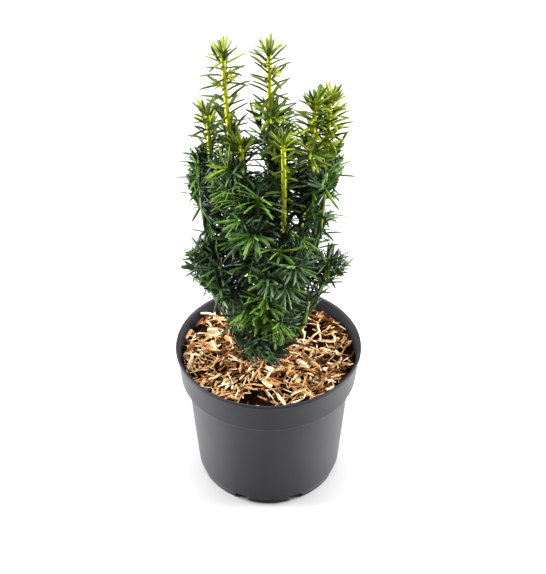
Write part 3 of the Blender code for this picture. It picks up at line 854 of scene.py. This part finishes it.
# %% Trunk and boughs in bark
BARK_STEP = 1.2 * MM
TRUNK_SIDES = 24
BOUGH_SIDES = 14
bark = mottled(
    "brown_bark",
    colours=((0.045, 0.022, 0.010), (0.17, 0.085, 0.04)),
    size=3 * MM,
    roughness=0.85,
    bump=(0.8 * MM, 0.3 * MM),
    stretch=(1, 1, 0.35),
)
fine_trunk = evenly(trunk_line, BARK_STEP)
trunk_radii = [trunk_radius(point.z) for point in fine_trunk]
trunk = draw_tubes("trunk_bark", [(fine_trunk, trunk_radii)], TRUNK_SIDES)
raise_relief(trunk, depth=0.45 * MM, across=1.6 * MM, upwards=6 * MM)
finish_piece(trunk, "trunk_bark", [bark], ["trunk"])
bough_tubes = []
for line in boughs.values():
    fine = evenly(line, BARK_STEP)
    bough_tubes.append((fine, taper(fine, BOUGH_RADIUS, STEM_RADIUS)))
bough_bark = draw_tubes("bough_bark", bough_tubes, BOUGH_SIDES)
raise_relief(bough_bark, depth=0.25 * MM, across=1.2 * MM, upwards=5 * MM)
finish_piece(bough_bark, "bough_bark", [bark], ["bough_" + name for name in boughs])

# %% [markdown]
# ## The room each shoot has
#
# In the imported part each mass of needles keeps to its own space, so that neighbours never run
# through each other. Real needles mingle with the next shoot's. So the same rule is used here
# with some overlap, and a needle that would pass through a limb, the wood or the pot's rim is
# drawn shorter or left out.

# %% The rule that keeps a shoot to its space
CLEAR_OF_MULCH = 137.5 * MM
CROWN_RADIUS = 79 * MM
NEEDLE_OVERLAP = 15 * MM
LIMB_CLEAR = 0.5 * MM
CHECKED_SHARES = np.array([0.35, 0.7, 1.0])
fine_limbs = [(p, trunk_radius(p.z)) for p in evenly(trunk_line, PATH_STEP)]
fine_limbs += [(p, BOUGH_RADIUS) for line in boughs.values() for p in line]
limb_places = np.array([p[:] for p, radius in fine_limbs])
limb_radii = np.array([radius for p, radius in fine_limbs])


class Space:
    """The room of one shoot: nearer to its own stem than to any other, but for an overlap."""

    def __init__(self, name):
        others = [line for other, line in stems.items() if other != name]
        self.own = np.array([p[:] for p in stems[name]])
        self.others = np.array([p[:] for line in others for p in line])

    def holds(self, places, overlap):
        """Whether these points lie in the room, clear of the wood, the rim and the limbs."""
        reach = np.hypot(places[:, 0], places[:, 1]).max()
        if places[:, 2].min() < CLEAR_OF_MULCH or reach > CROWN_RADIUS:
            return False
        own = np.linalg.norm(places[:, None] - self.own, axis=2).min(axis=1)
        other = np.linalg.norm(places[:, None] - self.others, axis=2).min(axis=1)
        if (own - other).max() > overlap:
            return False
        clear = np.linalg.norm(places[:, None] - limb_places, axis=2) - limb_radii
        return clear.min() > LIMB_CLEAR


print("limb points to keep off:", len(limb_places))

# %% [markdown]
# ## The crown's outline
#
# The photograph shows where the crown ends and where the sky shows through it. Both are kept as
# a few measured places on the upright plane through the trunk, as the camera sees that plane. A
# needle that would reach past the outline or end in an open place is drawn shorter or left out,
# but for a few strays. Thinning every shoot alike would be simpler, but would lose these gaps.

# %% Outline and open places
# height, left edge and right edge, in millimetres on the plane through the trunk
OUTLINE = [
    (113, -12, 12),
    (125, -22, 19),
    (140, -29, 25),
    (155, -35, 30),
    (170, -40, 36),
    (185, -44, 42),
    (200, -53, 58),
    (215, -66, 66),
    (230, -76, 72),
    (245, -74, 68),
    (260, -62, 55),
    (275, -53, 54),
    (290, -58, 58),
    (303, -66, 57),
    (317, -68, 59),
    (335, -68, 64),
    (360, -64, 64),
    (385, -60, 68),
    (400, -64, 64),
    (460, -64, 66),
]
# sideways place, height and radius, in millimetres on the same plane
OPEN_PLACES = [
    (49, 296, 7),
    (-57, 277, 6),
    (-14, 372, 8),
    (-58, 360, 5),
    (-10, 337, 7),
    (35, 335, 4),
    (-34, 294, 5),
    (24, 305, 4),
    (25, 281, 4),
    (48, 253, 4),
    (-43, 381, 5),
]
STRAY_CHANCE = 0.2
STRAY_REACH = 13 * MM
outline_heights, outline_left, outline_right = (np.array(OUTLINE) * MM).T
open_middles = np.array(OPEN_PLACES)[:, :2] * MM
open_radii = np.array(OPEN_PLACES)[:, 2] * MM
eye = np.array(CAMERA_PLACE)


def seen_on_plane(places):
    """Sideways place and height at which the camera sees these points on the trunk's plane."""
    share = -eye[1] / (places[:, 1] - eye[1])
    return eye[[0, 2]] + (places[:, [0, 2]] - eye[[0, 2]]) * share[:, None]


def in_outline(places, slack):
    """Whether points are seen inside the outline, and in no open place unless given slack."""
    seen = seen_on_plane(places)
    left = np.interp(seen[:, 1], outline_heights, outline_left) - slack
    right = np.interp(seen[:, 1], outline_heights, outline_right) + slack
    too_wide = (seen[:, 0] < left).any() or (seen[:, 0] > right).any()
    if too_wide or seen[:, 1].min() < outline_heights[0]:
        return False
    if slack > 0:
        return True
    apart = np.linalg.norm(seen[:, None] - open_middles, axis=2) - open_radii
    return apart.min() > 0


print(len(OUTLINE), "measured heights and", len(OPEN_PLACES), "open places")

# %% [markdown]
# ## Twigs
#
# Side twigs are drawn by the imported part's rule and from the same seed, so most of them stand
# where the part has them. Here a twig's tip has to be seen inside the outline too. The older part
# of each stem also carries finer sprigs, one to two centimetres long. Placing them all by hand
# would take hours and show little more.

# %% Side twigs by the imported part's rule, and finer sprigs
TWIG_LENGTHS = (12 * MM, 24 * MM)
TWIG_LEANS = (32, 55)
TWIG_TRIES = 16
TWIGS_FROM, TWIGS_TO = 0.12, 0.78
TWIG_RADIUS = 1.0 * MM
TWIG_TIP_RADIUS = 0.7 * MM
SPRIG_SPACING = 10 * MM
SPRIG_FREE_TIP = 12
SPRIG_LONGEST_YOUNG = 76
SPRIG_LENGTHS = (10 * MM, 22 * MM)
SPRIG_LEANS = (38, 62)
SPRIG_SPREAD = (0.6, 1.1)
SPRIG_RADIUS = 0.75 * MM
TWIG_SPREAD = (0.2, 0.8)
TWIG_SAG = 0.12
TWIG_STEPS = 6
# a twig's space is tested at this share of its length, and this far beyond its tip
TESTED_SHARE = 0.6
TESTED_BEYOND = 6 * MM


def across(direction, angle):
    """A unit vector square to direction, turned round it by angle."""
    side = direction.cross(Vector((0, 1, 0.01))).normalized()
    return (side * math.cos(angle) + direction.cross(side) * math.sin(angle)).normalized()


def along(line, distance):
    """The point of a line at a distance from its start, and the line's direction there."""
    for a, b in zip(line, line[1:]):
        step = (b - a).length
        if distance <= step or b is line[-1]:
            return a + (b - a) * (distance / step), (b - a).normalized()
        distance -= step


def length_of(line):
    """The length of a line, measured from point to point."""
    return sum((b - a).length for a, b in zip(line, line[1:]))


def free_tip(root, direction, turn, space, draws, leans, lengths):
    """Where a side twig from this root can end inside the shoot's space."""
    best = None
    for i in range(TWIG_TRIES):
        lean = math.radians(draws.uniform(*leans))
        outward = across(direction, turn + i * GOLDEN_ANGLE)
        out = direction * math.cos(lean) + outward * math.sin(lean)
        length = draws.uniform(*lengths)
        tip = root + out * length
        if best is not None and length <= (best - root).length:
            continue
        beyond = tip + out * TESTED_BEYOND
        checked = np.array([root.lerp(tip, TESTED_SHARE)[:], beyond[:]])
        if space.holds(checked, 0) and in_outline(checked, 0):
            best = tip
    return best


Twig = namedtuple("Twig", "shoot line")
twigs = []
for shoot in [*SHOOTS, MIDDLE_LEADER]:
    line = stems[shoot.name]
    space = Space(shoot.name)
    draws = random.Random(shoot.name)
    turn = draws.uniform(0, math.tau)
    total = length_of(line)
    for i in range(shoot.twigs):
        place = (i + draws.uniform(*TWIG_SPREAD)) / shoot.twigs
        k = round((TWIGS_FROM + (TWIGS_TO - TWIGS_FROM) * place) * (len(line) - 1))
        direction = (line[k + 1] - line[k - 1]).normalized()
        spot = turn + i * GOLDEN_ANGLE
        tip = free_tip(line[k], direction, spot, space, draws, TWIG_LEANS, TWIG_LENGTHS)
        if tip is not None:
            sag = Vector((0, 0, TWIG_SAG)) * (tip - line[k]).length
            middle = line[k].lerp(tip, 0.5) - sag
            shares = [j / TWIG_STEPS for j in range(TWIG_STEPS + 1)]
            bent = evenly([bezier(line[k], middle, tip, share) for share in shares], PATH_STEP)
            twigs.append(Twig(shoot.name, bent))
    at = total - (min(shoot.young, SPRIG_LONGEST_YOUNG) + SPRIG_FREE_TIP) * MM
    for i in range(shoot.sprigs):
        at -= SPRIG_SPACING * draws.uniform(*SPRIG_SPREAD)
        if at < shoot.bare * MM:
            break
        root, direction = along(line, at)
        turn += GOLDEN_ANGLE
        tip = free_tip(root, direction, turn, space, draws, SPRIG_LEANS, SPRIG_LENGTHS)
        if tip is not None:
            twigs.append(Twig(shoot.name, evenly([root, tip], PATH_STEP)))
print(len(twigs), "twigs and sprigs")

# %% [markdown]
# ## Stems
#
# This year's growth has a yellow-green stem, finely ridged where its needles run down into it. The
# older part below is duller green, as the twigs are, and brown at its foot. So the stems are three
# meshes, one for each age, cut where the colour changes. A colour ramp over one mesh would need
# to know where each of twenty shoots turns old.

# %% Stems by age
STEM_STEP = 1.5 * MM
BROWN_SHARE = 0.3
LIVE_RADIUS = 2.6 * MM
LIVE_TIP_RADIUS = 1.9 * MM
STEM_SIDES = 10
TWIG_LEAST_POINTS = 9  # a line with fewer is a sprig's


def part_of(line, start, end):
    """The stretch of a line between two distances, with points a stem step apart."""
    count = max(2, round((end - start) / STEM_STEP))
    return [along(line, start + (end - start) * i / count)[0] for i in range(count + 1)]


def stem_radius(share):
    """A living stem hardly tapers: it is as thick as a matchstick right up to its brush."""
    return LIVE_RADIUS + (LIVE_TIP_RADIUS - LIVE_RADIUS) * share


stem_parts = {"young": [], "green": [], "brown": []}
for shoot in [*SHOOTS, MIDDLE_LEADER]:
    line = stems[shoot.name]
    total = length_of(line)
    old = total - shoot.young * MM
    brown = old * BROWN_SHARE
    cuts = {"brown": (0, brown), "green": (brown, old), "young": (old, total)}
    for age, (start, end) in cuts.items():
        if end - start > STEM_STEP:
            points = part_of(line, start, end)
            shares = taper(points, start / total, end / total)
            stem_parts[age].append((points, [stem_radius(share) for share in shares]))
for twig in twigs:
    points = part_of(twig.line, 0, length_of(twig.line))
    radius = TWIG_RADIUS if len(points) >= TWIG_LEAST_POINTS else SPRIG_RADIUS
    stem_parts["green"].append((points, taper(points, radius, TWIG_TIP_RADIUS)))

# the dark and the light colour of each age
STEM_COLOURS = {
    "young": ((0.46, 0.52, 0.018), (0.80, 0.80, 0.05)),
    "green": ((0.07, 0.12, 0.010), (0.19, 0.24, 0.025)),
    "brown": ((0.05, 0.04, 0.012), (0.14, 0.10, 0.035)),
}
SKIN = dict(size=5 * MM, roughness=0.45, bump=(0.7 * MM, 0.15 * MM), stretch=(1, 1, 0.4))
for age, tubes in stem_parts.items():
    stem = draw_tubes(age + "_stems", tubes, STEM_SIDES)
    raise_relief(stem, depth=0.22 * MM, across=1.0 * MM, upwards=5 * MM)
    finish = mottled(age + "_stem_skin", STEM_COLOURS[age], **SKIN)
    finish_piece(stem, age + "_stems", [finish], [])

# %% [markdown]
# ## Needles
#
# A yew needle is a flat narrow blade, dark and glossy above, with a low rib along its middle, and
# pale below. One needle is modelled by drawing a four-cornered section out along Y and closing it
# to a point. A flat plane with a picture of a spray would be lighter, but it vanishes edge on. The
# copies wind up every stem a golden angle apart. Low down they are long, stand out and arch over.
# This year's growth carries shorter ones, further apart, and every tip ends in a brush that
# closes in on the bud.

# %% One needle
# share of the length, share of the width and share of the thickness at each section
NEEDLE_SECTIONS = [
    (0, 0.30, 0.9),
    (0.07, 0.34, 0.9),
    (0.22, 0.82, 1),
    (0.5, 1, 1),
    (0.78, 0.86, 0.9),
    (0.93, 0.46, 0.7),
]
needle = model_bar("needle", NEEDLE_SECTIONS, corners=4)

# %% How needles grow at each age
# spacing along the stem, length and width are in millimetres, lean and curl in degrees
Habit = namedtuple("Habit", "spacing length width lean curl")
OLD = Habit(1.15, 29, 2.4, 60, 32)
OLD_TIP = Habit(0.38, 27, 2.4, 50, 20)
YOUNG = Habit(1.5, 22, 3.3, 60, 24)
YOUNG_TIP = Habit(0.38, 17, 2.8, 28, 8)
TWIG = Habit(1.0, 25, 2.4, 56, 28)
TWIG_TIP = Habit(0.42, 22, 2.3, 44, 18)
NEW = Habit(0.3, 9, 2.2, 38, 6)
BARE_SPACING = 4
TIP_ZONE = 16 * MM
FIRST_NEEDLE = 2 * MM
NEEDLE_THICKNESS = 0.42
SHORTER = (1, 0.86, 0.72)
LEAST_LEAN = 6
NEEDLE_LEAST_CURL = 0.02
TURN_SPREAD, LEAN_SPREAD, CURL_SPREAD = 0.2, 12, 10
LENGTH_RANGE, WIDTH_RANGE = (0.84, 1.1), (0.9, 1.08)
SPACING_RANGE = (0.8, 1.2)
# a needle further from the middle than this that points back to it takes a darker tone, as painted
# shade
SHADE_RADIUS = 12 * MM
SHADE_TURN = -0.1
SHADED = {"dark": "deep", "mid": "deep", "bright": "dark"}


def closing_habit(body, tip, to_tip):
    """The habit at this distance from a tip: it crowds at once, then closes in evenly."""
    closing = max(0.0, 1 - to_tip / TIP_ZONE)
    habit = Habit(*(a + (b - a) * closing for a, b in zip(body, tip)))
    crowding = 1 - (1 - closing) ** 2
    return closing, habit._replace(spacing=body.spacing + (tip.spacing - body.spacing) * crowding)


def needle_path(blade):
    """Points along a needle's middle that are tested against its space."""
    along_axis, along_out = bend(blade.lean, blade.curl, blade.length, CHECKED_SHARES)[1:]
    return np.array(blade.root) + np.outer(along_axis, blade.axis) + np.outer(along_out, blade.out)


def grow_needle(root, axis, turn, habit, space, draws):
    """One needle of this habit that fits its space, drawn shorter where room is tight."""
    out = across(axis, turn + draws.gauss(0, TURN_SPREAD))
    lean = math.radians(max(LEAST_LEAN, habit.lean + draws.gauss(0, LEAN_SPREAD)))
    curl = math.radians(habit.curl + draws.gauss(0, CURL_SPREAD))
    if abs(curl) < NEEDLE_LEAST_CURL:
        curl = NEEDLE_LEAST_CURL
    length = habit.length * MM * draws.uniform(*LENGTH_RANGE)
    width = habit.width * MM * draws.uniform(*WIDTH_RANGE)
    slack = STRAY_REACH * draws.random() if draws.random() < STRAY_CHANCE else 0.0
    for shorter in SHORTER:
        reach = length * shorter
        blade = Bent(root, axis, out, lean, curl, reach, width, width * NEEDLE_THICKNESS)
        path = needle_path(blade)
        if in_outline(path, slack) and space.holds(path, NEEDLE_OVERLAP):
            return blade
    return None


def turned_in(blade):
    """Whether a needle grows back into the crown, where little light comes."""
    outward = Vector((blade.root.x, blade.root.y, 0))
    return outward.length > SHADE_RADIUS and blade.out.dot(outward.normalized()) < SHADE_TURN


def dress(line, bare, young, every, habits, tone, space, draws, crown):
    """Winds needles up a line to its tip and deals them out to the crown's tones.

    bare is the thinly leaved length at the foot, young the length of this year's growth at the
    tip, and every the spacing of its needles.
    """
    total = length_of(line)
    turn = draws.uniform(0, math.tau)
    at = FIRST_NEEDLE
    while at < total:
        to_tip = total - at
        is_young = to_tip < young
        body, tip = habits
        if is_young:
            body, tip = YOUNG._replace(spacing=every), YOUNG_TIP
        closing, habit = closing_habit(body, tip, to_tip)
        root, axis = along(line, at)
        turn += GOLDEN_ANGLE
        blade = grow_needle(root, axis, turn, habit, space, draws)
        if blade:
            own_tone = tone(root.z, is_young, closing, draws)
            # painted shade: a needle that turns back into the crown takes a darker tone
            if turned_in(blade):
                own_tone = SHADED.get(own_tone, own_tone)
            crown[own_tone].append(blade)
        thin = BARE_SPACING if at < bare else 1
        at += habit.spacing * thin * MM * draws.uniform(*SPACING_RANGE)


# %% [markdown]
# ## Tones
#
# The photograph's crown is nearly black low down and inside, a clean green higher up and
# yellow-green at the tallest tips. Paint could be laid over each mass, or one finish could change
# with height. Here every needle is dealt to one of seven tones as it grows, by its height, by how
# near a tip it is and by whether it turns back into the crown. The darker tone of a needle that
# turns back in is painted shade. So light and dark needles lie side by side, as they do on the
# plant.

# %% Tones, dealt out needle by needle
LOW_CROWN = 210 * MM
HIGH_CROWN = 400 * MM
LUSH_FROM = 335 * MM
TIP_GLOW_FROM = 345 * MM
TIP_GLOW_CLOSING = 0.5
TIP_GLOW_CHANCE = 0.6
YOUNG_GLOW_CHANCE = 0.8
TIP_BRIGHTNESS = 0.7
BRIGHTNESS_SPREAD = 0.22
DARK_BELOW = 0.45
MID_BELOW = 0.95
LUSH_MIX = ("lush", "lush", "lush", "bright", "young")
ALL_OLD = (0, 0, 0)  # no bare foot, no growth of this year and no spacing for it


def usual_tone(height, is_young, closing, draws):
    """Dark low down, brighter with height and towards each tip."""
    if is_young:
        return "lush" if draws.random() < YOUNG_GLOW_CHANCE * closing else "young"
    bright = (height - LOW_CROWN) / (HIGH_CROWN - LOW_CROWN)
    bright = bright + TIP_BRIGHTNESS * closing + draws.gauss(0, BRIGHTNESS_SPREAD)
    at_high_tip = closing > TIP_GLOW_CLOSING and height > TIP_GLOW_FROM
    if at_high_tip and draws.random() < TIP_GLOW_CHANCE:
        return "lush"
    if bright < DARK_BELOW:
        return "dark"
    return "mid" if bright < MID_BELOW else "bright"


def always(tone):
    """A rule that gives every needle the same tone."""
    return lambda height, is_young, closing, draws: tone


def lush_tone(height, is_young, closing, draws):
    """Yellow-green from some height up, as on the two lush shoots at the right."""
    if height < LUSH_FROM:
        return usual_tone(height, False, closing, draws)
    return draws.choice(LUSH_MIX)


# painted light: front_bright takes the bright tone throughout, brightening a shoot that the needles
# above it shade
TONES = {"front_bright": always("bright"), "right_leader": lush_tone, "right_outer": lush_tone}
crown = {tone: [] for tone in ("deep", "dark", "mid", "bright", "young", "lush", "new")}
for shoot in [*SHOOTS, MIDDLE_LEADER]:
    draws = random.Random("needles of " + shoot.name)
    tone = TONES.get(shoot.name, usual_tone)
    space = Space(shoot.name)
    lengths = (shoot.bare * MM, shoot.young * MM, shoot.every)
    dress(stems[shoot.name], *lengths, (OLD, OLD_TIP), tone, space, draws, crown)
    for twig in twigs:
        if twig.shoot == shoot.name:
            dress(twig.line, *ALL_OLD, (TWIG, TWIG_TIP), tone, space, draws, crown)
print("needles on shoots and twigs:", sum(map(len, crown.values())))

# %% [markdown]
# Four small tufts of new needles, still pale yellow, break from three of the leaders. Each is a
# bud five millimetres long, wrapped by the same rule as a shoot.

# %% Tufts of new needles
# Tuft: the shoot it grows from, how far below its tip in millimetres, and its turn in degrees
# from the right towards the camera.
Tuft = namedtuple("Tuft", "shoot below turn")
TUFTS = [
    Tuft("left_leader", 22, 20),
    Tuft("left_leader", 29, 140),
    Tuft("middle_leader", 20, 15),
    Tuft("front_leader", 84, 80),
]
TUFT_LENGTH = 5 * MM
TUFT_RISE = 0.8
TUFT_STEP = 1 * MM
for tuft in TUFTS:
    draws = random.Random("tuft")
    line = stems[tuft.shoot]
    root, axis = along(line, length_of(line) - tuft.below * MM)
    turn = math.radians(tuft.turn)
    out = Vector((math.cos(turn), -math.sin(turn), TUFT_RISE)).normalized()
    bud = evenly([root, root + out * TUFT_LENGTH], TUFT_STEP)
    dress(bud, *ALL_OLD, (NEW, NEW), always("new"), Space(tuft.shoot), draws, crown)
print({tone: len(blades) for tone, blades in crown.items()})

# %% [markdown]
# ## The crown's meshes
#
# All needles of one tone make one mesh, with a glossy top and a paler, duller underside. Thousands
# of linked objects would look the same, but seven meshes load quicker. Together they take the
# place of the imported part's masses.

# %% The needles as joined meshes
# the dark and the light colour of a needle's top, and the colour of its underside
NEEDLE_COLOURS = {
    # painted shade: the darkest tone, given only to needles that turn back into the crown
    "deep": ((0.004, 0.011, 0.004), (0.020, 0.040, 0.014), (0.04, 0.08, 0.03)),
    "dark": ((0.012, 0.032, 0.012), (0.058, 0.108, 0.050), (0.10, 0.16, 0.08)),
    "mid": ((0.030, 0.070, 0.018), (0.100, 0.174, 0.058), (0.18, 0.26, 0.11)),
    "bright": ((0.060, 0.136, 0.016), (0.160, 0.276, 0.046), (0.27, 0.38, 0.11)),
    "young": ((0.030, 0.052, 0.004), (0.090, 0.120, 0.012), (0.36, 0.40, 0.06)),
    "lush": ((0.100, 0.150, 0.008), (0.290, 0.340, 0.028), (0.50, 0.54, 0.10)),
    "new": ((0.34, 0.37, 0.06), (0.58, 0.58, 0.18), (0.66, 0.66, 0.26)),
}
TOP = dict(size=9 * MM, roughness=0.42, bump=(1.5 * MM, 0.05 * MM), gloss=0.32)
UNDERSIDE = dict(size=9 * MM, roughness=0.5, bump=(1.5 * MM, 0.05 * MM))
UNDER_FADE = 0.72
RIB_ANGLE = math.radians(30)
masses = ["foliage_" + name for name in stems]
for tone, (dark, light, pale) in NEEDLE_COLOURS.items():
    blades = join_copies(tone, needle, crown[tone])
    only(blades)
    bpy.ops.object.shade_smooth_by_angle(angle=RIB_ANGLE)
    top = mottled(tone + "_needle_top", (dark, light), **TOP)
    faded = [UNDER_FADE * value for value in pale]
    below = mottled(tone + "_needle_under", (faded, pale), **UNDERSIDE)
    replaced = masses if tone == "dark" else []
    finish_piece(blades, tone + "_needles", [top, below], replaced)
